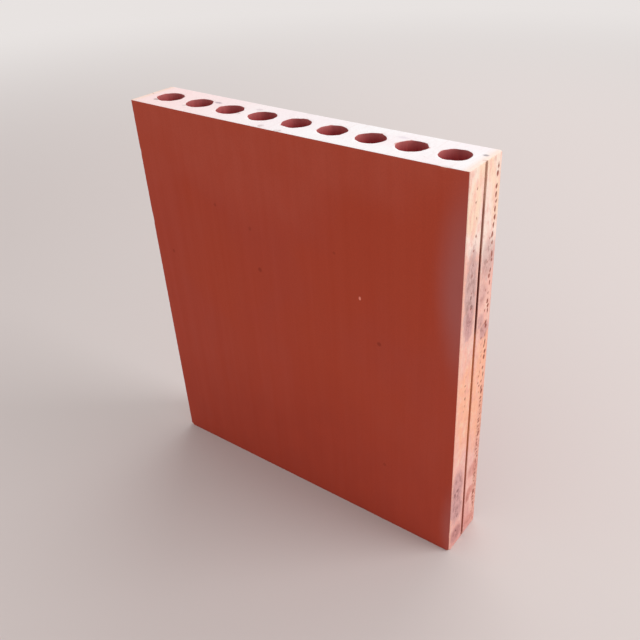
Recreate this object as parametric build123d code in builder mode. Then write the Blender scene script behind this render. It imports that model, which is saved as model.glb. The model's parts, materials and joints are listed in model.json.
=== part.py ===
"""Double floor tile of fired terracotta, as it leaves the kiln.

The clay is extruded through a die in one piece and cut to length with a wire. One row of round
cores runs from cut end to cut end, and a narrow slit down the middle of each narrow side marks
the plane where the slab is split, through the cores, into two floor tiles laid back to back.
The slab stands on one cut end. Millimetres, +Z up along the cores, +X along the row of cores,
and the origin is in the middle of the lower cut end.
"""

import os

from build123d import *

# Cores, in one row at half thickness
core_diameter = 21.5
core_count = 9

# Clay around the cores
web_between_cores = 10.5
wall_to_broad_face = 11.25
wall_to_narrow_side = 11.25

# Length of the extrusion, from cut end to cut end
cut_length = 330.0

# Slit down the middle of each narrow side
slit_width = 1.8
slit_depth = 3.0

# Rounding that the die leaves on the four long edges
arris_radius = 0.8

# Sizes that follow
core_pitch = core_diameter + web_between_cores
slab_width = (core_count - 1) * core_pitch + core_diameter + 2 * wall_to_narrow_side
slab_thickness = core_diameter + 2 * wall_to_broad_face
slit_spacing = slab_width - slit_depth

os.makedirs("parts", exist_ok=True)

with BuildPart() as double_floor_tile:
    with BuildSketch(Plane.XY) as die_section:
        RectangleRounded(slab_width, slab_thickness, arris_radius)
        with GridLocations(core_pitch, 0, core_count, 1):
            Circle(core_diameter / 2, mode=Mode.SUBTRACT)
        with GridLocations(slit_spacing, 0, 2, 1):
            Rectangle(slit_depth, slit_width, mode=Mode.SUBTRACT)
    extrude(amount=cut_length)

double_floor_tile.part.label = "double_floor_tile"
export_step(double_floor_tile.part, "parts/double_floor_tile.step")

print(f"slab {slab_width} x {slab_thickness} x {cut_length} mm, core pitch {core_pitch} mm")
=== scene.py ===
"""The finish of a double floor tile of fired terracotta.

The slab is one extruded body. Nine round cores run from cut end to cut end, a narrow slit runs
down the middle of each narrow side, and rows of small tears follow the die down both leaves of
the narrow sides. It stands on one wire-cut end. Metres, +Z up along the cores, +X along the row
of cores, and the origin is in the middle of the lower cut end.
"""

import json
import math
import random

import bmesh
import bpy
from mathutils import Matrix, Vector, kdtree, noise


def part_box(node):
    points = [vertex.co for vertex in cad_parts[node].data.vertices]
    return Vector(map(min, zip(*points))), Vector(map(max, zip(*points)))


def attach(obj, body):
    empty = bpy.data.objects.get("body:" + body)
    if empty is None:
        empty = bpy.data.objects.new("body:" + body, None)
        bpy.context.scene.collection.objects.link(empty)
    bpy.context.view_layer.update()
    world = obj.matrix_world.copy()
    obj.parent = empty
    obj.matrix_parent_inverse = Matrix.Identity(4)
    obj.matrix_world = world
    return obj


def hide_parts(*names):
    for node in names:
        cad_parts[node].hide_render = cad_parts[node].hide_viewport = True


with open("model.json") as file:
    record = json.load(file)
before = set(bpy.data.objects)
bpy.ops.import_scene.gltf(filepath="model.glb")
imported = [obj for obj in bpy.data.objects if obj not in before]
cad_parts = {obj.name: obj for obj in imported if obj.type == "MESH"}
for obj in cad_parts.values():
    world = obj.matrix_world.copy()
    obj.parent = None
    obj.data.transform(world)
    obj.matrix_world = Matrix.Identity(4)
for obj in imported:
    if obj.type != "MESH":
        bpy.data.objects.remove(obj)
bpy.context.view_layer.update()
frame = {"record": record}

MM = 0.001
NODE = "double_floor_tile"

# Sizes of the slab, from the frame
slab_low, slab_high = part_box(NODE)
half_width = (slab_high[0] - slab_low[0]) / 2
half_thickness = (slab_high[1] - slab_low[1]) / 2
length = slab_high[2] - slab_low[2]
core_mounts = [mount for mount in frame["record"]["mounts"] if mount["kind"] == "bore"]
core_places = sorted(mount["pos_m"][0] for mount in core_mounts)
core_radius = core_mounts[0]["dims"]["r_mm"] * MM
core_pitch = core_places[1] - core_places[0]
end_strip_width = half_width - core_places[-1] - core_pitch / 2

# Slit and arrises, as the die leaves them
slit_width = 1.8 * MM
slit_depth = 3.0 * MM
arris_radius = 0.8 * MM
cut_arris = 0.3 * MM

# How finely the clay is modelled
broad_steps = 12
web_steps = 20
rings_round_core = 5
strip_steps = 3
side_cuts = 2
arris_steps = 3
skin_rows = 90
side_rows_per_row = 4
core_rows = 8
mouth_rings = (1.0 * MM, 2.5 * MM, 6.0 * MM)

# Limits that tell faces, edges and vertices apart
weld = 0.01 * MM
hair = 0.05 * MM
side_reach = 0.8 * arris_radius
upright_face = 0.1
end_face = 0.5
level_face = 0.9
keen_angle = math.radians(38)

# Slow waves that drying and firing leave in the flat faces
skin_wave = 0.15 * MM
skin_streak = 0.25
side_wave = 0.22 * MM
end_hollow = 0.55 * MM
foot_hollow = 0.15 * MM
hollow_reach = 9.0 * MM

# Marks of the die on the narrow sides
side_streak = 0.07 * MM
rough_strip_start = 18.5 * MM
rough_strip_ramp = 3.0 * MM
rough_strip_depth = 0.24 * MM
tear_reach = 1.5
tear_ragged = 0.35
tear_lean = 0.28
torn_through = 0.7 * MM
slit_wander = 0.16 * MM
slit_worn = 0.65 * MM
slit_lip = 1.0 * MM
lip_round = 0.35 * MM

# Marks of the cutting wire on the ends
wire_drag = 0.10 * MM
mouth_bite = 0.5 * MM
mouth_facet = 0.75 * MM
mouth_burr = 0.5 * MM
mouth_reach = 3.0 * MM
mouth_fade = 1.6 * MM
core_drag = 0.14 * MM
smear_open = 0.06
smear_reach = 1.6 * MM

# Wear of the edges and corners
arris_wear = 0.55 * MM
arris_chip = 1.0 * MM
widest_wear = 2.6 * MM
worn_through = 1.2 * MM
knocked_corners = (
    (Vector((1, -1, -1)), 3.0 * MM),
    (Vector((-1, -1, -1)), 2.6 * MM),
    (Vector((1, 1, 1)), 1.6 * MM),
    (Vector((-1, 1, 1)), 1.8 * MM),
)


# Painted bands of the narrow sides, measured from the middle of the slit
rim_paint = (18.8 * MM, 21.4 * MM)
back_arris_band = (20.8 * MM, 21.8 * MM)
# Band of painted shade on the lips beside the slit
lip_shade_band = (2.5 * MM, 1.3 * MM)
smudge_gap = (2.0 * MM, 4.2 * MM)
leaf_seam = 1.0 * MM

# Painted bands of the cut ends and the cores, measured in from their edges
creamy_edge = 8.5 * MM
# How deep the cores' dust and painted light reach in from each mouth
mouth_dust_and_light_depth = 8.0 * MM

# How the clay shines, and how soft and ragged its painted marks are
clay_sheen = 0.3
mark_fray = 0.32
speck_edge = 0.12


# Shape of the slab


def clay_cell(bm, x):
    """One rectangle of clay round a core, open in the middle."""
    corners = bmesh.ops.create_grid(bm, x_segments=1, y_segments=1, size=0.5)["verts"]
    bmesh.ops.scale(bm, vec=(core_pitch, 2 * half_thickness, 1), verts=corners)
    bmesh.ops.translate(bm, vec=(x, 0, 0), verts=corners)
    face = corners[0].link_faces[0]
    outline = list(face.edges)
    bmesh.ops.delete(bm, geom=[face], context="FACES_ONLY")
    along_face = [e for e in outline if abs(e.verts[0].co.y - e.verts[1].co.y) < hair]
    across = [e for e in outline if e not in along_face]
    for edges, steps in ((along_face, broad_steps), (across, web_steps)):
        cut = bmesh.ops.subdivide_edges(bm, edges=edges, cuts=steps - 1)
        outline += [e for e in cut["geom_split"] if isinstance(e, bmesh.types.BMEdge)]
    mouth = bmesh.ops.create_circle(
        bm, segments=2 * (broad_steps + web_steps), radius=core_radius,
        matrix=Matrix.Translation((x, 0, 0)),
    )["verts"]
    rim = {e for v in mouth for e in v.link_edges}
    spokes = bmesh.ops.bridge_loops(bm, edges=list(set(outline) | rim))["edges"]
    bmesh.ops.subdivide_edges(bm, edges=spokes, cuts=rings_round_core - 1)


def strip_clay(bm, side):
    """One end strip without the column of faces that meets the last cell."""
    inner = half_width - end_strip_width * (strip_steps - 1) / strip_steps
    faces = [f for f in bm.faces if f.calc_center_median().x * side > inner]
    edges = {e for f in faces for e in f.edges}
    verts = {v for f in faces for v in f.verts}
    return faces + list(edges) + list(verts)


def end_strip(bm, side):
    """The solid clay between the last core's cell and a narrow side, with the slit's notch."""
    strip = bmesh.ops.create_grid(
        bm, x_segments=strip_steps, y_segments=web_steps, size=0.5,
    )["verts"]
    bmesh.ops.scale(bm, vec=(end_strip_width, 2 * half_thickness, 1), verts=strip)
    bmesh.ops.translate(bm, vec=(side * (half_width - end_strip_width / 2), 0, 0), verts=strip)
    slit_floor = side * (half_width - slit_depth)
    for place, across in (
        ((0, slit_width / 2, 0), (0, 1, 0)),
        ((0, -slit_width / 2, 0), (0, 1, 0)),
        ((slit_floor, 0, 0), (1, 0, 0)),
    ):
        clay = strip_clay(bm, side)
        bmesh.ops.bisect_plane(bm, geom=clay, dist=weld, plane_co=place, plane_no=across)
    notch = []
    for face in bm.faces:
        middle = face.calc_center_median()
        if middle.x * side > half_width - slit_depth and abs(middle.y) < slit_width / 2:
            notch.append(face)
    bmesh.ops.delete(bm, geom=notch, context="FACES")
    corners = []
    for vert in bm.verts:
        if vert.co.x * side > half_width - hair and abs(vert.co.y) > half_thickness - hair:
            corners.append(vert)
    bmesh.ops.bevel(
        bm, geom=corners, offset=arris_radius, offset_type="OFFSET", affect="VERTICES",
        segments=arris_steps, profile=0.5, material=-1,
    )
    flat_side = [e for e in bm.edges if all(v.co.x * side > half_width - hair for v in e.verts)]
    bmesh.ops.subdivide_edges(bm, edges=flat_side, cuts=side_cuts)


def round_the_cut(bm):
    """Takes the keen edge off both cut ends, round the outline and round each core's mouth."""
    rims = []
    for edge in bm.edges:
        levels = sorted(abs(face.normal.z) for face in edge.link_faces)
        if levels[0] < upright_face and levels[1] > level_face:
            rims.append(edge)
    bmesh.ops.bevel(
        bm, geom=rims, offset=cut_arris, offset_type="OFFSET", affect="EDGES",
        segments=2, profile=0.5, material=-1,
    )


def nearest_core(place):
    """How far a place is from the nearest core's axis, and where that axis is."""
    x = min(core_places, key=lambda core: abs(place.x - core))
    return math.hypot(place.x - x, place.y), x


def on_core_wall(vert):
    """True for a vertex on the wall of a core."""
    return nearest_core(vert.co)[0] < core_radius + hair


def upright_edges(bm):
    """Edges that still run most of the slab's length."""
    return [e for e in bm.edges if abs(e.verts[0].co.z - e.verts[1].co.z) > length / 2]


def cut_core_rings(bm):
    """Rings down the cores, close together at the mouths."""
    for depth in mouth_rings:
        for height in (depth, length - depth):
            walls = [f for f in bm.faces if all(on_core_wall(v) for v in f.verts)]
            edges = {e for f in walls for e in f.edges}
            verts = {v for f in walls for v in f.verts}
            bmesh.ops.bisect_plane(
                bm, geom=walls + list(edges) + list(verts), dist=weld,
                plane_co=(0, 0, height), plane_no=(0, 0, 1),
            )
    in_cores = [e for e in upright_edges(bm) if on_core_wall(e.verts[0])]
    bmesh.ops.subdivide_edges(bm, edges=in_cores, cuts=core_rows - 1)


def cut_skin_rows(bm):
    """Rows up the skin, four times closer on the narrow sides."""
    on_skin = [e for e in upright_edges(bm) if not on_core_wall(e.verts[0])]
    bmesh.ops.subdivide_edges(bm, edges=on_skin, cuts=skin_rows - 1)
    rises = []
    for edge in bm.edges:
        low, high = edge.verts[0].co, edge.verts[1].co
        on_side = min(abs(low.x), abs(high.x)) > half_width - side_reach
        if on_side and abs(low.z - high.z) > length / skin_rows / 2:
            rises.append(edge)
    bmesh.ops.subdivide_edges(bm, edges=rises, cuts=side_rows_per_row - 1)
    bmesh.ops.triangulate(bm, faces=[f for f in bm.faces if len(f.verts) > 4])


def extrude_slab(bm):
    """The die section drawn up to the cut length, with rows enough for its surface."""
    for x in core_places:
        clay_cell(bm, x)
    for side in (-1, 1):
        end_strip(bm, side)
    bmesh.ops.remove_doubles(bm, verts=bm.verts, dist=weld)
    drawn = bmesh.ops.extrude_face_region(bm, geom=bm.faces[:])["geom"]
    top = [part for part in drawn if isinstance(part, bmesh.types.BMVert)]
    bmesh.ops.translate(bm, vec=(0, 0, length), verts=top)
    bmesh.ops.recalc_face_normals(bm, faces=bm.faces)
    round_the_cut(bm)
    cut_core_rings(bm)
    cut_skin_rows(bm)
    bmesh.ops.recalc_face_normals(bm, faces=bm.faces)


# Surface of the clay


def ripple(place, waves, seed):
    """Smooth noise between -1 and 1. Waves gives the length of a wave along each axis, in mm."""
    spot = Vector([place[i] / (waves[i] * MM) for i in range(3)])
    return noise.noise(spot + seed * Vector((7.31, 3.17, 5.77)))


def swell(place, waves, seed):
    """The same noise between 0 and 1."""
    return 0.5 + 0.5 * ripple(place, waves, seed)


def rise(value, low, high):
    """0 below low, 1 above high, and a smooth climb between."""
    part = min(max((value - low) / (high - low), 0), 1)
    return part * part * (3 - 2 * part)


class Tear:
    """A small rip where the die's edge dragged on the clay of a narrow side."""

    def __init__(self, side, y, z, half_wide, half_high, deep):
        self.place = Vector((side * half_width, y, z))
        self.half_wide = half_wide
        self.half_high = half_high
        self.deep = deep

    def depth_at(self, place):
        """How far the tear digs in at a place on the narrow side, deepest under its upper lip."""
        ragged = tear_ragged * ripple(place, (1, 1.1, 1.5), 11)
        across = (place.y - self.place.y) / self.half_wide
        up = (place.z - self.place.z) / self.half_high
        gone = math.hypot(across, up) + ragged
        if gone >= 1:
            return 0.0
        bowl = (1 - max(gone, 0) ** 2) ** 0.7
        return self.deep * bowl * (1 - tear_lean + tear_lean * up)


def tear_row(side, y, wander, bottom, top, gaps, widths, heights, depths, seed):
    """A row of tears up one leaf of a narrow side. Everything in mm."""
    rng = random.Random(seed)
    row = []
    z = bottom + rng.uniform(*gaps)
    while z < top:
        place = y + wander * rng.uniform(-1, 1) * rng.random() ** 0.5
        sizes = (rng.uniform(*widths) / 2, rng.uniform(*heights) / 2, rng.uniform(*depths))
        row.append(Tear(side, place * MM, z * MM, *(size * MM for size in sizes)))
        z += rng.uniform(*gaps)
    return row


def all_tears():
    """The rows on both narrow sides, close by one broad face and sparse on the other leaf."""
    close = dict(widths=(1.8, 3.0), heights=(2.8, 5.6), depths=(0.5, 1.1))
    small = dict(widths=(1.4, 2.4), heights=(1.8, 3.8), depths=(0.3, 0.7))
    crumbly = dict(widths=(2.0, 3.6), heights=(1.6, 3.6), depths=(0.3, 0.8))
    return (
        tear_row(1, 16.5, 1.9, 135, 326, (3.5, 9.5), seed=5, **close)
        + tear_row(1, 17.3, 2.0, 10, 138, (2.2, 5.0), seed=15, **crumbly)
        + tear_row(1, 12.8, 1.8, 200, 300, (8, 22), seed=10, **small)
        + tear_row(1, 12.0, 3.0, 140, 200, (3, 8), seed=14, **small)
        + tear_row(1, -9.6, 1.8, 205, 326, (6, 15), seed=6, **small)
        + tear_row(1, -9.8, 1.8, 135, 172, (4, 10), seed=7, **small)
        + tear_row(-1, -16.8, 1.8, 12, 240, (3.5, 11), seed=8, **close)
        + tear_row(-1, -15.0, 3.2, 236, 316, (2.4, 6.0), seed=16, **crumbly)
        + tear_row(-1, -13.2, 1.5, 40, 280, (8, 26), seed=12, **small)
        + tear_row(-1, 10.4, 2.2, 60, 318, (7, 30), seed=9, **small)
    )


def dig_tears(bm, torn):
    """Depth of the tears at each vertex of the narrow sides, also kept as the layer torn."""
    sides = [v for v in bm.verts if abs(v.co.x) > half_width - hair]
    tree = kdtree.KDTree(len(sides))
    for number, vert in enumerate(sides):
        tree.insert(vert.co, number)
    tree.balance()
    dug = {}
    for tear in all_tears():
        reach = tear_reach * max(tear.half_wide, tear.half_high)
        for place, number, _ in tree.find_range(tear.place, reach):
            depth = tear.depth_at(place)
            vert = sides[number]
            if depth > dug.get(vert, 0.0):
                dug[vert] = depth
                vert[torn] = min(depth / torn_through, 1.0)
    return dug


def side_depth(place):
    """How far the skin of a narrow side lies in: waves, die streaks and a rough strip."""
    side = math.copysign(1, place.x)
    wave = side_wave * swell(place, (50, 24, 70), 21)
    streak = side_streak * swell(place, (50, 1.7, 60), 22)
    fray = abs(ripple(place, (50, 1.9, 2.6), 23)) + 0.5 * abs(ripple(place, (50, 1.0, 1.3), 24))
    beyond = rise(side * place.y, rough_strip_start, rough_strip_start + rough_strip_ramp)
    return wave + streak + rough_strip_depth * fray * beyond


def broad_depth(place):
    """How far the skin of a broad face lies in: long waves, drawn out along the cores."""
    wave = swell(place, (55, 40, 180), 31)
    streak = swell(place, (9, 40, 260), 32)
    return skin_wave * ((1 - skin_streak) * wave + skin_streak * streak)


def end_depth(place):
    """How far a cut end lies in: a slight hollow, and the drag of the wire across it."""
    upper = place.z > length / 2
    hollow = (end_hollow if upper else foot_hollow) * (1 - (place.x / half_width) ** 2)
    drag = swell(place, (2.4, 30, 20), 41)
    crumbs = swell(place, (3.1, 2.4, 20), 42)
    dragged = wire_drag * (0.6 * drag + 0.4 * crumbs)
    inside = min(place.z, length - place.z)
    return (hollow + dragged) * (1 - rise(inside, cut_arris, hollow_reach))


def mouth_depth(place, bore, core_x):
    """How far a core's mouth is broken back, less the burr that the wire drags in."""
    around = math.atan2(place.y, place.x - core_x)
    ring = Vector((core_x + core_radius * math.cos(around), core_radius * math.sin(around), 0))
    inside = min(place.z, length - place.z)
    end = Vector((0, 0, round(place.z / length) * 50 * MM))
    facet = 0.2 + ripple(ring + end, (6, 6, 50), 51)
    bite = rise(ripple(ring + end, (3.4, 3.4, 50), 52), 0.0, 0.7)
    crumble = swell(place, (1.6, 1.6, 1.6), 53)
    at_mouth = math.exp(-inside / mouth_fade)
    drag = core_drag * swell(ring, (2.2, 2.2, 50), 54)
    burr = mouth_burr * math.sin(around) ** 2 * (1 + 0.5 * ripple(ring + end, (5, 5, 50), 55))
    away = 1 - rise(bore - core_radius, 0, mouth_reach)
    broken = mouth_facet * facet + mouth_bite * bite * (0.6 + 0.4 * crumble)
    return away * (drag + at_mouth * (broken - burr))


def edge_wear(along, seed):
    """Width of the wear on an edge: a little everywhere, and a chip here and there."""
    spot = Vector((along, 0, 0))
    pale_back_arris = 0.4 + 0.6 * abs(ripple(spot, (17, 1, 1), seed))
    fine = 0.35 * ripple(spot, (3.2, 1, 1), seed + 0.5)
    chipped = rise(ripple(spot, (11, 1, 1), seed + 0.7), 0.42, 0.75)
    return arris_wear * (pale_back_arris + fine) + arris_chip * chipped


def wear_edges(place, signs):
    """Cuts a place back where it stands out past the worn edges and the knocked corners."""
    ends = (half_width, half_thickness, length / 2)
    middle = (0, 0, length / 2)
    inset = Vector([ends[i] - abs(place[i] - middle[i]) for i in range(3)])
    lost = 0.0
    for along, first, second in ((2, 0, 1), (0, 1, 2), (1, 0, 2)):
        if inset[first] + inset[second] > widest_wear:
            continue
        seed = 60 + 5 * along + 2 * signs[first] + signs[second]
        over = edge_wear(place[along], seed) - inset[first] - inset[second]
        if over > 0:
            inset[first] += over / 2
            inset[second] += over / 2
            lost = max(lost, over)
    for corner, size in knocked_corners:
        if all(signs[i] == corner[i] for i in range(3)) and sum(inset) < 2 * size:
            over = size * (1 + 0.4 * ripple(place, (3, 3, 3), 71)) - sum(inset)
            if over > 0:
                inset += Vector((over, over, over)) / 3
                lost = max(lost, over)
    for i in range(3):
        place[i] = middle[i] + signs[i] * (ends[i] - inset[i])
    return lost


def slit_shape(place, moved, side, side_inset):
    """Lets the slit wander, rounds its lips, and smears it nearly shut at the cut ends."""
    from_wall = abs(place.y) - slit_width / 2
    wander = ripple(place, (50, 50, 34), 61) + 0.5 * ripple(place, (50, 50, 6), 62)
    away = 1 - rise(from_wall, 0, slit_lip)
    if side_inset < hair:
        moved.x -= side * lip_round * away
    inside = min(place.z, length - place.z)
    left_open = smear_open + (1 - smear_open) * rise(inside, 0, smear_reach)
    wide = place.y + math.copysign(slit_worn, place.y) * away
    moved.y = wide * (1 - away * (1 - left_open)) + slit_wander * wander * away
    return moved


def weather_clay(bm):
    """Moves every vertex from the die's ideal shape to the fired surface."""
    bm.verts.layers.float.new("torn")
    bm.verts.layers.float.new("worn")
    torn, worn = bm.verts.layers.float["torn"], bm.verts.layers.float["worn"]
    dug = dig_tears(bm, torn)
    for vert in bm.verts:
        place = vert.co.copy()
        moved = place.copy()
        from_middle = (place.x, place.y, place.z - length / 2)
        signs = [1 if part > 0 else -1 for part in from_middle]
        bore, core_x = nearest_core(place)
        side_inset = half_width - abs(place.x)
        if side_inset < arris_radius:
            moved.x -= signs[0] * (side_depth(place) + dug.get(vert, 0.0))
        if half_thickness - abs(place.y) < arris_radius:
            moved.y -= signs[1] * broad_depth(place)
        if min(place.z, length - place.z) < hollow_reach:
            moved.z -= signs[2] * end_depth(place)
        if bore < core_radius + mouth_reach:
            depth = mouth_depth(place, bore, core_x)
            moved += Vector((place.x - core_x, place.y, 0)) / bore * depth
            vert[torn] = min(depth / torn_through, 1.0)
        if abs(place.y) < slit_width / 2 + slit_lip and side_inset < slit_depth + 2 * cut_arris:
            moved = slit_shape(place, moved, signs[0], side_inset)
        elif bore > core_radius + mouth_reach / 2:
            vert[worn] = min(wear_edges(moved, signs) / worn_through, 1.0)
        vert.co = moved


# Materials


def tone(red, green, blue):
    """A colour given 0 to 255, as the shader wants it."""
    channels = []
    for value in (red, green, blue):
        part = value / 255
        channels.append(part / 12.92 if part <= 0.04045 else ((part + 0.055) / 1.055) ** 2.4)
    return (*channels, 1.0)


class Finish:
    """One material while it is being laid out."""

    def __init__(self, name, roughness):
        self.material = bpy.data.materials.new(name)
        self.material.use_nodes = True
        self.tree = self.material.node_tree
        self.shader = self.tree.nodes["Principled BSDF"]
        self.shader.inputs["Roughness"].default_value = roughness
        self.shader.inputs["Specular IOR Level"].default_value = clay_sheen
        self.place = self.tree.nodes.new("ShaderNodeTexCoord").outputs["Object"]

    def join(self, value, socket):
        """Sets a socket, or joins it to another node's output."""
        if isinstance(value, bpy.types.NodeSocket):
            self.tree.links.new(value, socket)
        else:
            socket.default_value = value

    def node(self, kind, inputs, **settings):
        """A node with its settings, and with each input set or joined."""
        made = self.tree.nodes.new("ShaderNode" + kind)
        for name, value in settings.items():
            setattr(made, name, value)
        for socket, value in inputs.items():
            self.join(value, made.inputs[socket])
        return made

    def waves(self, x, y, z, seed=0.0):
        """The place measured in waves, each axis with its own wave length in mm."""
        scale = (1 / (x * MM), 1 / (y * MM), 1 / (z * MM))
        inputs = {"Vector": self.place, "Scale": scale, "Location": (seed, 1.7 * seed, 2.3 * seed)}
        return self.node("Mapping", inputs).outputs["Vector"]

    def noise(self, x, y, z, detail=2.0, roughness=0.5, seed=0.0):
        """Cloudy noise, 0 to 1."""
        inputs = {
            "Vector": self.waves(x, y, z, seed),
            "Scale": 1.0,
            "Detail": detail,
            "Roughness": roughness,
        }
        return self.node("TexNoise", inputs).outputs[0]

    def band(self, value, low, high, start=0.0, end=1.0):
        """A value's climb from low to high, turned into start to end, smooth at both."""
        inputs = {"Value": value, "From Min": low, "From Max": high, "To Min": start, "To Max": end}
        return self.node("MapRange", inputs, interpolation_type="SMOOTHSTEP").outputs["Result"]

    def sum(self, kind, first, second=0.0):
        """Plain arithmetic on two values."""
        return self.node("Math", {0: first, 1: second}, operation=kind).outputs["Value"]

    def mix(self, amount, first, second, blend="MIX"):
        """Two colours laid over each other."""
        inputs = {0: amount, 6: first, 7: second}
        laid = self.node("Mix", inputs, data_type="RGBA", blend_type=blend, clamp_result=True)
        return laid.outputs[2]

    def specks(self, spacing, size, share, seed=0.0):
        """A spot here and there: 1 in the spots, 0 outside. Spacing and size in mm."""
        spaced = self.waves(spacing, spacing, spacing, seed)
        cells = self.node("TexVoronoi", {"Vector": spaced, "Scale": 1.0})
        chosen = self.node("SeparateColor", {"Color": cells.outputs["Color"]}).outputs["Red"]
        limit = self.band(chosen, 1 - share, 1.0, 0.0, size / spacing)
        inside = self.sum("SUBTRACT", limit, cells.outputs["Distance"])
        return self.band(inside, 0.0, speck_edge * size / spacing)

    def along(self, axis):
        """How far a place lies along one axis."""
        return self.node("SeparateXYZ", {"Vector": self.place}).outputs[axis]

    def patch(self, centre, half_sizes, fray, edge):
        """A soft patch: 1 in its middle, 0 outside. Its centre and half sizes in mm."""
        inputs = {
            "Vector": self.place,
            "Location": [part * MM for part in centre],
            "Scale": [part * MM for part in half_sizes],
        }
        local = self.node("Mapping", inputs, vector_type="TEXTURE").outputs["Vector"]
        away = self.node("VectorMath", {0: local}, operation="LENGTH").outputs["Value"]
        ragged = self.sum("ADD", away, self.band(fray, 0.25, 0.75, -mark_fray, mark_fray))
        return self.band(ragged, 1.0 + edge / 2, 1.0 - edge / 2)

    def attribute(self, name):
        """A value kept on the mesh."""
        return self.node("Attribute", {}, attribute_name=name).outputs["Fac"]

    def where_worn(self, amount):
        """The worn edges and corners, up to an amount."""
        return self.band(self.attribute("worn"), 0.1, 0.8, 0.0, amount)

    def colour(self, value):
        """Sets the colour of the surface."""
        self.tree.links.new(value, self.shader.inputs["Base Color"])

    def rough(self, value):
        """Sets how matt the surface is."""
        self.tree.links.new(value, self.shader.inputs["Roughness"])

    def relief(self, *layers):
        """Fine relief on top of the modelled shape. Each layer is a height and its depth in mm."""
        below = None
        for height, depth in layers:
            inputs = {"Height": height, "Distance": depth * MM, "Strength": 1.0}
            if below is not None:
                inputs["Normal"] = below
            below = self.node("Bump", inputs).outputs["Normal"]
        self.tree.links.new(below, self.shader.inputs["Normal"])


def grain(finish, base, strength):
    """Fine sand of the clay body over a base colour."""
    sand = finish.noise(1.1, 1.1, 1.1, detail=3, seed=3)
    shade = finish.mix(finish.band(sand, 0.3, 0.7), tone(176, 176, 176), tone(200, 200, 200))
    return sand, finish.mix(strength, base, shade, "SOFT_LIGHT")


def stained(finish, body, fray, stains, where=1.0):
    """Lays patches over a body: centre, half sizes, colour, strength and softness of each."""
    for centre, half_sizes, stain, strength, edge in stains:
        patch = finish.patch(centre, half_sizes, fray, edge)
        amount = finish.sum("MULTIPLY", finish.sum("MULTIPLY", patch, strength), where)
        body = finish.mix(amount, body, stain)
    return body


def broad_face_finish():
    """The broad faces: a tight, smooth red skin drawn by the die, with painted light and shade:
    lighter near the top, darker at the foot and in small pits.
    """
    finish = Finish("die_skin", 0.72)
    cloud = finish.noise(90, 40, 120, detail=3, seed=1)
    mottle = finish.noise(16, 16, 24, detail=3, seed=2)
    streak = finish.noise(9, 30, 240, detail=5, roughness=0.6, seed=4)
    sand = finish.noise(1.1, 1.1, 1.1, detail=3, seed=3)
    drift = finish.band(cloud, 0.3, 0.7, -30 * MM, 30 * MM)
    height = finish.sum("ADD", finish.along("Z"), drift)
    body = finish.mix(finish.band(cloud, 0.38, 0.62), tone(189, 70, 42), tone(187, 71, 49))
    # Painted light and shade: the broad faces are painted lighter near the top and darker, redder
    # towards the foot, where less light reaches
    high_up = finish.band(height, 255 * MM, 325 * MM, 0.0, 0.9)
    body = finish.mix(high_up, body, tone(195, 81, 58))
    low_down = finish.band(height, 150 * MM, 30 * MM, 0.0, 0.9)
    body = finish.mix(low_down, body, tone(178, 62, 40))
    body = finish.mix(finish.band(mottle, 0.35, 0.7, 0.0, 0.3), body, tone(190, 67, 40))
    body = finish.mix(finish.band(streak, 0.3, 0.7, 0.0, 0.06), body, tone(152, 53, 38))
    body = finish.mix(finish.band(sand, 0.35, 0.7, 0.0, 0.14), body, tone(150, 52, 38))
    hazy = tone(182, 98, 92)
    flashes = (
        ((152, -22, 240), (14, 20, 54), hazy, 0.85, 1.6),
        ((152, -22, 24), (8, 20, 34), hazy, 0.60, 1.6),
        ((-152, 22, 120), (14, 20, 64), hazy, 0.80, 1.6),
    )
    body = stained(finish, body, cloud, flashes)
    # Painted shade: dark spots that stand in for the shade in small pits; no hollow is modelled
    pit_shade = tone(146, 42, 20)
    shaded_pits = (
        ((83, -22, 183), (1.5, 20, 1.5), pit_shade, 0.70, 1.0),
        ((-30, -22, 213), (1.5, 20, 1.5), pit_shade, 0.60, 1.0),
        ((-71, -22, 259), (1.3, 20, 1.5), pit_shade, 0.45, 1.0),
        ((-36, -22, 247), (1.2, 20, 1.5), pit_shade, 0.40, 1.0),
        ((-130, -22, 203), (1.4, 20, 1.5), pit_shade, 0.50, 1.0),
        ((45, -22, 248), (1.2, 20, 1.2), pit_shade, 0.45, 1.0),
        ((87, -22, 65), (1.3, 20, 1.3), pit_shade, 0.50, 1.0),
        ((-96, 22, 226), (1.5, 20, 1.4), pit_shade, 0.80, 1.0),
        ((24, 22, 148), (1.4, 20, 1.3), pit_shade, 0.70, 1.0),
        ((61, 22, 271), (1.2, 20, 1.2), pit_shade, 0.55, 1.0),
    )
    body = stained(finish, body, mottle, shaded_pits)
    lime = (
        ((66.8, -22, 217), (1.2, 20, 1.9), tone(250, 152, 132), 1.0, 0.5),
        ((-82, 22, 96), (1.7, 20, 1.3), tone(236, 186, 164), 1.0, 0.5),
    )
    body = stained(finish, body, mottle, lime)
    body = finish.mix(finish.where_worn(0.6), body, tone(206, 104, 76))
    finish.colour(body)
    finish.rough(finish.band(streak, 0.2, 0.8, 0.66, 0.80))
    finish.relief((streak, 0.06), (sand, 0.05))
    return finish.material


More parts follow.
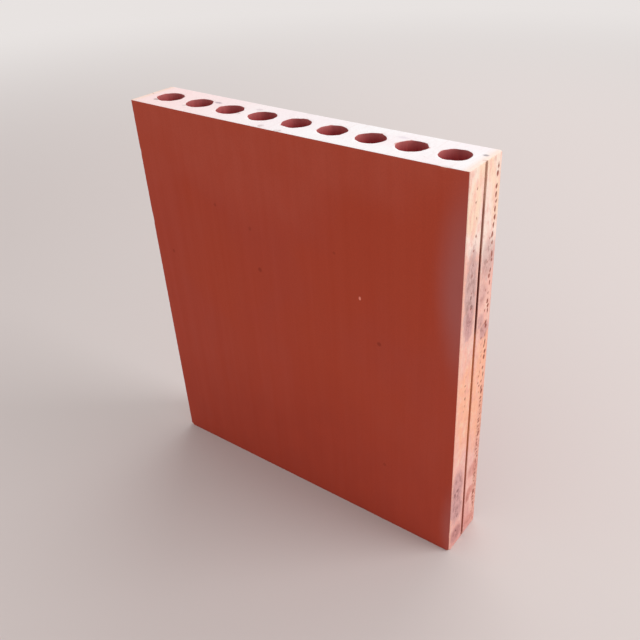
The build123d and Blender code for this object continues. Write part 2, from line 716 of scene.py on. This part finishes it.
def narrow_side_finish():
    """The narrow sides: paler, blotched cream and pink, torn in rows and smudged by the kiln."""
    finish = Finish("drawn_side", 0.86)
    cloud = finish.noise(40, 22, 60, detail=3, seed=11)
    streak = finish.noise(30, 1.3, 30, detail=3, roughness=0.6, seed=12)
    mottle = finish.noise(4.2, 3.2, 5.5, detail=4, roughness=0.6, seed=13)
    blush = finish.noise(10, 6, 13, detail=3, seed=14)
    drift = finish.band(cloud, 0.3, 0.7, -20 * MM, 20 * MM)
    height = finish.sum("ADD", finish.along("Z"), drift)
    body = tone(255, 188, 157)
    for start, end, shade in (
        (178, 200, tone(248, 198, 184)),
        (258, 276, tone(254, 230, 218)),
        (292, 308, tone(254, 221, 196)),
        (318, 332, tone(252, 230, 214)),
        (118, 88, tone(247, 191, 181)),
        (36, 10, tone(228, 162, 156)),
    ):
        body = finish.mix(finish.band(height, start * MM, end * MM), body, shade)
    body = finish.mix(finish.band(blush, 0.44, 0.62, 0.0, 0.45), body, tone(248, 182, 170))
    body = finish.mix(finish.band(mottle, 0.50, 0.28, 0.0, 0.45), body, tone(255, 232, 206))
    body = finish.mix(finish.band(mottle, 0.52, 0.74, 0.0, 0.50), body, tone(224, 164, 146))
    body = finish.mix(finish.band(streak, 0.50, 0.75, 0.0, 0.22), body, tone(214, 158, 134))
    from_slit = finish.sum("ABSOLUTE", finish.along("Y"))
    low_down = finish.band(height, 285 * MM, 250 * MM, 0.1, 0.65)
    rims = finish.sum("MULTIPLY", finish.band(from_slit, *rim_paint), low_down)
    leaf = finish.band(finish.along("Y"), -leaf_seam, leaf_seam)
    rim = finish.mix(leaf, tone(255, 192, 171), tone(241, 174, 162))
    body = finish.mix(rims, body, rim)
    body = stained(finish, body, mottle, crumbled_strips(finish))
    off_slit = finish.band(from_slit, *smudge_gap)
    body = stained(finish, body, mottle, kiln_smudges(finish, mottle), off_slit)
    # Painted shade: the lips beside the slit are painted brown, and maroon where the kiln smoke
    # stains the slit, so that the slit's dark line looks wider
    lip_shade = stained(finish, tone(196, 128, 104), mottle, slit_smoke())
    body = finish.mix(finish.band(from_slit, *lip_shade_band, 0.0, 0.65), body, lip_shade)
    sand, body = grain(finish, body, 0.9)
    # Partly painted shade: the tears are painted a darker, redder brown, partly the red body they
    # open and partly the shade that falls in them
    torn = finish.band(finish.attribute("torn"), 0.0, 0.55, 0.0, 0.95)
    body = finish.mix(torn, body, tone(156, 82, 66))
    body = finish.mix(finish.where_worn(0.7), body, tone(250, 200, 182))
    # The arris next to the +Y broad face is painted paler pink, broken up in blotches
    broken_up = finish.band(blush, 0.30, 0.60, 0.3, 0.8)
    pale_back_arris = finish.sum("MULTIPLY", finish.band(finish.along("Y"), *back_arris_band), broken_up)
    body = finish.mix(pale_back_arris, body, tone(255, 220, 210))
    finish.colour(body)
    finish.rough(finish.band(mottle, 0.2, 0.8, 0.80, 0.92))
    finish.relief((streak, 0.08), (mottle, 0.16), (sand, 0.06))
    return finish.material


def slit_smoke():
    """Where the smoke stained the slit: maroon beside the tallest smudges, paler elsewhere."""
    maroon = tone(110, 28, 32)
    return (
        ((150, 0, 287), (20, 20, 15), tone(176, 122, 108), 0.75, 0.6),
        ((150, 0, 231), (20, 20, 30), maroon, 0.95, 0.3),
        ((150, 0, 34), (20, 20, 50), tone(184, 108, 96), 0.85, 0.6),
        ((-150, 0, 120), (20, 20, 52), maroon, 0.95, 0.3),
        ((-150, 0, 250), (20, 20, 30), maroon, 0.70, 0.6),
    )


def crumbled_strips(finish):
    """Strips of a narrow side where the die crumbled the skin, mottled pink and pale."""
    crumbs = finish.noise(2.8, 2.0, 2.2, detail=3, roughness=0.6, seed=16)
    mottled = finish.mix(finish.band(crumbs, 0.36, 0.60), tone(248, 194, 172), tone(196, 120, 102))
    return (
        ((150, 17.8, 70), (20, 4.8, 74), mottled, 0.65, 0.6),
        ((-150, -15.0, 276), (20, 5.5, 46), mottled, 0.60, 0.6),
    )


def kiln_smudges(finish, mottle):
    """The smudges of the kiln on both narrow sides: mottled grey and violet, redder low down."""
    soot = finish.specks(6.0, 2.3, 0.5, seed=15)
    soot = finish.sum("MULTIPLY", soot, finish.band(mottle, 0.40, 0.52))
    dark_spots = finish.sum("MAXIMUM", finish.band(mottle, 0.42, 0.66, 0.0, 0.7), soot)
    grey = finish.mix(dark_spots, tone(212, 174, 170), tone(148, 110, 107))
    violet = finish.mix(dark_spots, tone(216, 165, 162), tone(156, 108, 110))
    red = finish.mix(dark_spots, tone(224, 150, 138), tone(182, 112, 104))
    ember = finish.mix(dark_spots, tone(206, 146, 142), tone(150, 96, 96))
    return (
        ((150, -11.2, 241), (20, 8.3, 34), grey, 0.90, 0.6),
        ((150, -11.0, 217), (20, 5.8, 13), violet, 0.85, 0.6),
        ((150, 11.0, 258), (20, 10.5, 15), grey, 0.65, 0.8),
        ((150, 6.0, 232), (20, 7.5, 9), violet, 0.60, 0.8),
        ((150, 6.5, 210), (20, 5.5, 6), violet, 0.70, 0.6),
        ((150, 13.5, 200), (20, 6.5, 7), violet, 0.85, 0.6),
        ((150, -12.5, 66), (20, 8.8, 17), violet, 0.95, 0.6),
        ((150, -13.5, 46), (20, 8.5, 18), violet, 0.95, 0.6),
        ((150, -7.0, 38), (20, 4.5, 7), violet, 0.70, 0.8),
        ((150, -11.0, 13), (20, 8.5, 8), ember, 0.95, 0.7),
        ((150, 12.0, 66), (20, 9.0, 7), red, 0.65, 0.8),
        ((150, 9.0, 44), (20, 5.0, 5), red, 0.90, 0.6),
        ((150, 5.0, 38), (20, 4.5, 5), red, 0.90, 0.6),
        ((150, 8.0, 10), (20, 9.0, 5), red, 0.70, 0.8),
        ((-150, 11.0, 120), (20, 8.5, 54), grey, 0.90, 0.5),
        ((-150, -9.0, 250), (20, 8.0, 26), violet, 0.75, 0.6),
        ((-150, -12.0, 40), (20, 6.5, 16), red, 0.75, 0.6),
    )


def cut_end_finish():
    """The cut ends: open, chalky pale clay dragged by the wire."""
    finish = Finish("wire_cut", 0.92)
    cloud = finish.noise(45, 30, 40, detail=3, seed=21)
    drag = finish.noise(1.6, 26, 30, detail=3, roughness=0.6, seed=22)
    crumbs = finish.noise(2.6, 2.2, 3, detail=4, roughness=0.65, seed=23)
    body = finish.mix(finish.band(cloud, 0.35, 0.65), tone(248, 239, 242), tone(248, 245, 247))
    to_left = finish.band(finish.along("X"), 20 * MM, -half_width, 0.0, 0.85)
    body = finish.mix(to_left, body, tone(252, 222, 221))
    from_middle = finish.sum("ABSOLUTE", finish.along("X"))
    by_side = finish.band(from_middle, half_width - creamy_edge, half_width, 0.0, 0.75)
    body = finish.mix(by_side, body, tone(250, 220, 200))
    body = finish.mix(finish.band(drag, 0.5, 0.8, 0.0, 0.25), body, tone(230, 200, 192))
    body = finish.mix(finish.band(crumbs, 0.55, 0.8, 0.0, 0.35), body, tone(224, 194, 186))
    marks = finish.specks(17, 5.0, 0.16, seed=24)
    smeared = finish.sum("MULTIPLY", marks, finish.band(drag, 0.35, 0.65, 0.1, 0.5))
    body = finish.mix(smeared, body, tone(176, 152, 150))
    smears = (
        ((145.2, 8.2, 330), (2.0, 1.4, 20), tone(172, 160, 164), 0.95, 1.0),
        ((82, 11.5, 330), (4.0, 1.8, 20), tone(226, 216, 224), 0.7, 1.0),
        ((-44, 10.5, 330), (3.0, 2.2, 20), tone(220, 206, 210), 0.7, 1.0),
        ((-83.5, 8.0, 330), (3.2, 1.8, 20), tone(184, 166, 176), 0.85, 1.0),
        ((-133, -9.5, 330), (3.2, 2.2, 20), tone(172, 148, 146), 0.85, 1.0),
        ((-101, -10.0, 330), (2.6, 1.6, 20), tone(212, 196, 192), 0.7, 1.0),
    )
    body = stained(finish, body, crumbs, smears)
    sand, body = grain(finish, body, 0.8)
    torn = finish.band(finish.attribute("torn"), 0.25, 1.0, 0.0, 0.65)
    body = finish.mix(torn, body, tone(220, 158, 142))
    body = finish.mix(finish.where_worn(0.5), body, tone(250, 214, 200))
    finish.colour(body)
    finish.relief((drag, 0.14), (crumbs, 0.22), (sand, 0.08))
    return finish.material


def core_wall_finish():
    """The cores: deep red, drawn in lines, and paler near the mouths, partly dust and partly
    painted light.
    """
    finish = Finish("core_wall", 0.80)
    drawn = finish.noise(2.4, 2.4, 120, detail=3, seed=31)
    cloud = finish.noise(14, 14, 40, detail=3, seed=32)
    body = finish.mix(finish.band(drawn, 0.3, 0.7), tone(171, 61, 66), tone(187, 76, 77))
    body = finish.mix(finish.band(cloud, 0.4, 0.7, 0.0, 0.4), body, tone(155, 53, 59))
    sand, body = grain(finish, body, 0.7)
    from_middle = finish.sum("ABSOLUTE", finish.sum("SUBTRACT", finish.along("Z"), length / 2))
    # Partly dust and partly painted light: the walls are painted paler pink near each mouth,
    # standing in for the light that falls on them there
    mouth_dust_and_light = finish.band(from_middle, length / 2 - mouth_dust_and_light_depth, length / 2, 0.0, 0.42)
    body = finish.mix(mouth_dust_and_light, body, tone(214, 142, 138))
    finish.colour(body)
    finish.relief((drawn, 0.12), (sand, 0.05))
    return finish.material


def slit_finish():
    """The slit: ochre brown where the kiln left it clean, maroon where it smudged the sides."""
    finish = Finish("slit_wall", 0.88)
    crumbs = finish.noise(1.6, 1.6, 2.4, detail=3, seed=42)
    drift = finish.noise(60, 60, 26, detail=2, seed=41)
    body = finish.mix(finish.band(drift, 0.38, 0.62), tone(214, 138, 88), tone(220, 152, 108))
    high_up = finish.band(finish.along("Z"), 262 * MM, 280 * MM)
    body = finish.mix(high_up, body, tone(224, 190, 170))
    body = stained(finish, body, drift, slit_smoke())
    body = finish.mix(finish.band(crumbs, 0.4, 0.7, 0.0, 0.3), body, tone(176, 100, 80))
    finish.colour(body)
    finish.relief((crumbs, 0.15))
    return finish.material


FINISHES = (broad_face_finish, narrow_side_finish, cut_end_finish, core_wall_finish, slit_finish)
BROAD, SIDE, END, CORE, SLIT = range(len(FINISHES))


def surface_of(face):
    """Which finish a face of the bare slab takes."""
    middle = face.calc_center_median()
    bore, _ = nearest_core(middle)
    if abs(face.normal.z) > end_face:
        return END
    if bore < core_radius + cut_arris:
        return CORE
    if abs(middle.y) < slit_width / 2 + hair and half_width - abs(middle.x) > hair:
        return SLIT
    return SIDE if abs(face.normal.x) > abs(face.normal.y) else BROAD


def dress_slab():
    """The slab with its finishes, standing for the frame's node."""
    bm = bmesh.new()
    extrude_slab(bm)
    for face in bm.faces:
        face.material_index = surface_of(face)
        face.smooth = True
    weather_clay(bm)
    bm.normal_update()
    for edge in bm.edges:
        edge.smooth = edge.calc_face_angle(0) < keen_angle
    mesh = bpy.data.meshes.new("fired_slab")
    bm.to_mesh(mesh)
    bm.free()
    for make in FINISHES:
        mesh.materials.append(make())
    slab = bpy.data.objects.new("fired_slab", mesh)
    bpy.context.collection.objects.link(slab)
    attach(slab, "root")
    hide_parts(NODE)


# Floor, light and camera

camera_place = Vector((0.3438, -0.4055, 0.4950))
camera_aim = Vector((0.0501, 0.0, 0.1702))
camera_roll = math.radians(-1.755)
camera_lens = 42.43
camera_shift = (-0.0625, 0.01875)
sensor_width = 36.0
backdrop_tone = tone(232, 227, 225)
room_tone = tone(255, 252, 250)
room_fill = 0.62
floor_tone = tone(213, 204, 202)
floor_roughness = 0.9
floor_radius = 9.0
floor_fade_start = 0.7
floor_fade_end = 2.4
lamp_aim = Vector((0, 0, 0.16))


def only_seen(tree):
    """1 where the camera or a reflection looks at a surface, 0 where it lights something."""
    rays = tree.nodes.new("ShaderNodeLightPath")
    seen = tree.nodes.new("ShaderNodeMath")
    seen.operation = "MAXIMUM"
    tree.links.new(rays.outputs["Is Camera Ray"], seen.inputs[0])
    tree.links.new(rays.outputs["Is Glossy Ray"], seen.inputs[1])
    return seen.outputs["Value"]


def lay_floor():
    """A plain pale floor that fades into the pale backdrop."""
    bm = bmesh.new()
    bmesh.ops.create_circle(bm, segments=96, radius=floor_radius, cap_ends=True)
    mesh = bpy.data.meshes.new("floor")
    bm.to_mesh(mesh)
    bm.free()
    floor = bpy.data.objects.new("floor", mesh)
    bpy.context.collection.objects.link(floor)
    paint = bpy.data.materials.new("pale_floor")
    paint.use_nodes = True
    tree = paint.node_tree
    near = tree.nodes["Principled BSDF"]
    near.inputs["Base Color"].default_value = floor_tone
    near.inputs["Roughness"].default_value = floor_roughness
    far = tree.nodes.new("ShaderNodeEmission")
    far.inputs["Color"].default_value = backdrop_tone
    place = tree.nodes.new("ShaderNodeTexCoord")
    away = tree.nodes.new("ShaderNodeVectorMath")
    away.operation = "LENGTH"
    fade = tree.nodes.new("ShaderNodeMapRange")
    fade.interpolation_type = "SMOOTHSTEP"
    fade.inputs["From Min"].default_value = floor_fade_start
    fade.inputs["From Max"].default_value = floor_fade_end
    amount = tree.nodes.new("ShaderNodeMath")
    amount.operation = "MULTIPLY"
    blend = tree.nodes.new("ShaderNodeMixShader")
    tree.links.new(place.outputs["Object"], away.inputs[0])
    tree.links.new(away.outputs["Value"], fade.inputs["Value"])
    tree.links.new(fade.outputs["Result"], amount.inputs[0])
    tree.links.new(only_seen(tree), amount.inputs[1])
    tree.links.new(amount.outputs["Value"], blend.inputs["Fac"])
    tree.links.new(near.outputs["BSDF"], blend.inputs[1])
    tree.links.new(far.outputs["Emission"], blend.inputs[2])
    tree.links.new(blend.outputs["Shader"], tree.nodes["Material Output"].inputs["Surface"])
    mesh.materials.append(paint)


def soft_lamp(name, place, size, power):
    """A square soft lamp that looks at the middle of the slab."""
    lamp = bpy.data.lights.new(name, "AREA")
    lamp.size = size
    lamp.energy = power
    holder = bpy.data.objects.new(name, lamp)
    turn = (lamp_aim - Vector(place)).to_track_quat("-Z", "Y").to_matrix().to_4x4()
    holder.matrix_world = Matrix.Translation(place) @ turn
    bpy.context.collection.objects.link(holder)


def light_room():
    """An even pale room, with soft lamps high at the right and behind."""
    world = bpy.data.worlds.new("room")
    bpy.context.scene.world = world
    world.use_nodes = True
    tree = world.node_tree
    fill = tree.nodes["Background"]
    fill.inputs["Color"].default_value = room_tone
    fill.inputs["Strength"].default_value = room_fill
    shown = tree.nodes.new("ShaderNodeBackground")
    shown.inputs["Color"].default_value = backdrop_tone
    pick = tree.nodes.new("ShaderNodeMixShader")
    tree.links.new(only_seen(tree), pick.inputs["Fac"])
    tree.links.new(fill.outputs["Background"], pick.inputs[1])
    tree.links.new(shown.outputs["Background"], pick.inputs[2])
    tree.links.new(pick.outputs["Shader"], tree.nodes["World Output"].inputs["Surface"])
    soft_lamp("right_lamp", (1.30, 0.50, 1.35), size=1.0, power=15)
    soft_lamp("back_lamp", (-0.45, 1.35, 1.30), size=1.4, power=8.5)


def set_camera():
    """The camera where the photograph was taken from."""
    lens = bpy.data.cameras.new("camera")
    lens.lens = camera_lens
    lens.sensor_width = sensor_width
    lens.shift_x, lens.shift_y = camera_shift
    camera = bpy.data.objects.new("camera", lens)
    bpy.context.collection.objects.link(camera)
    turn = (camera_aim - camera_place).to_track_quat("-Z", "Y").to_matrix().to_4x4()
    roll = Matrix.Rotation(camera_roll, 4, "Z")
    camera.matrix_world = Matrix.Translation(camera_place) @ turn @ roll
    bpy.context.scene.camera = camera


dress_slab()
lay_floor()
light_room()
set_camera()
bpy.context.scene.view_settings.view_transform = "Standard"
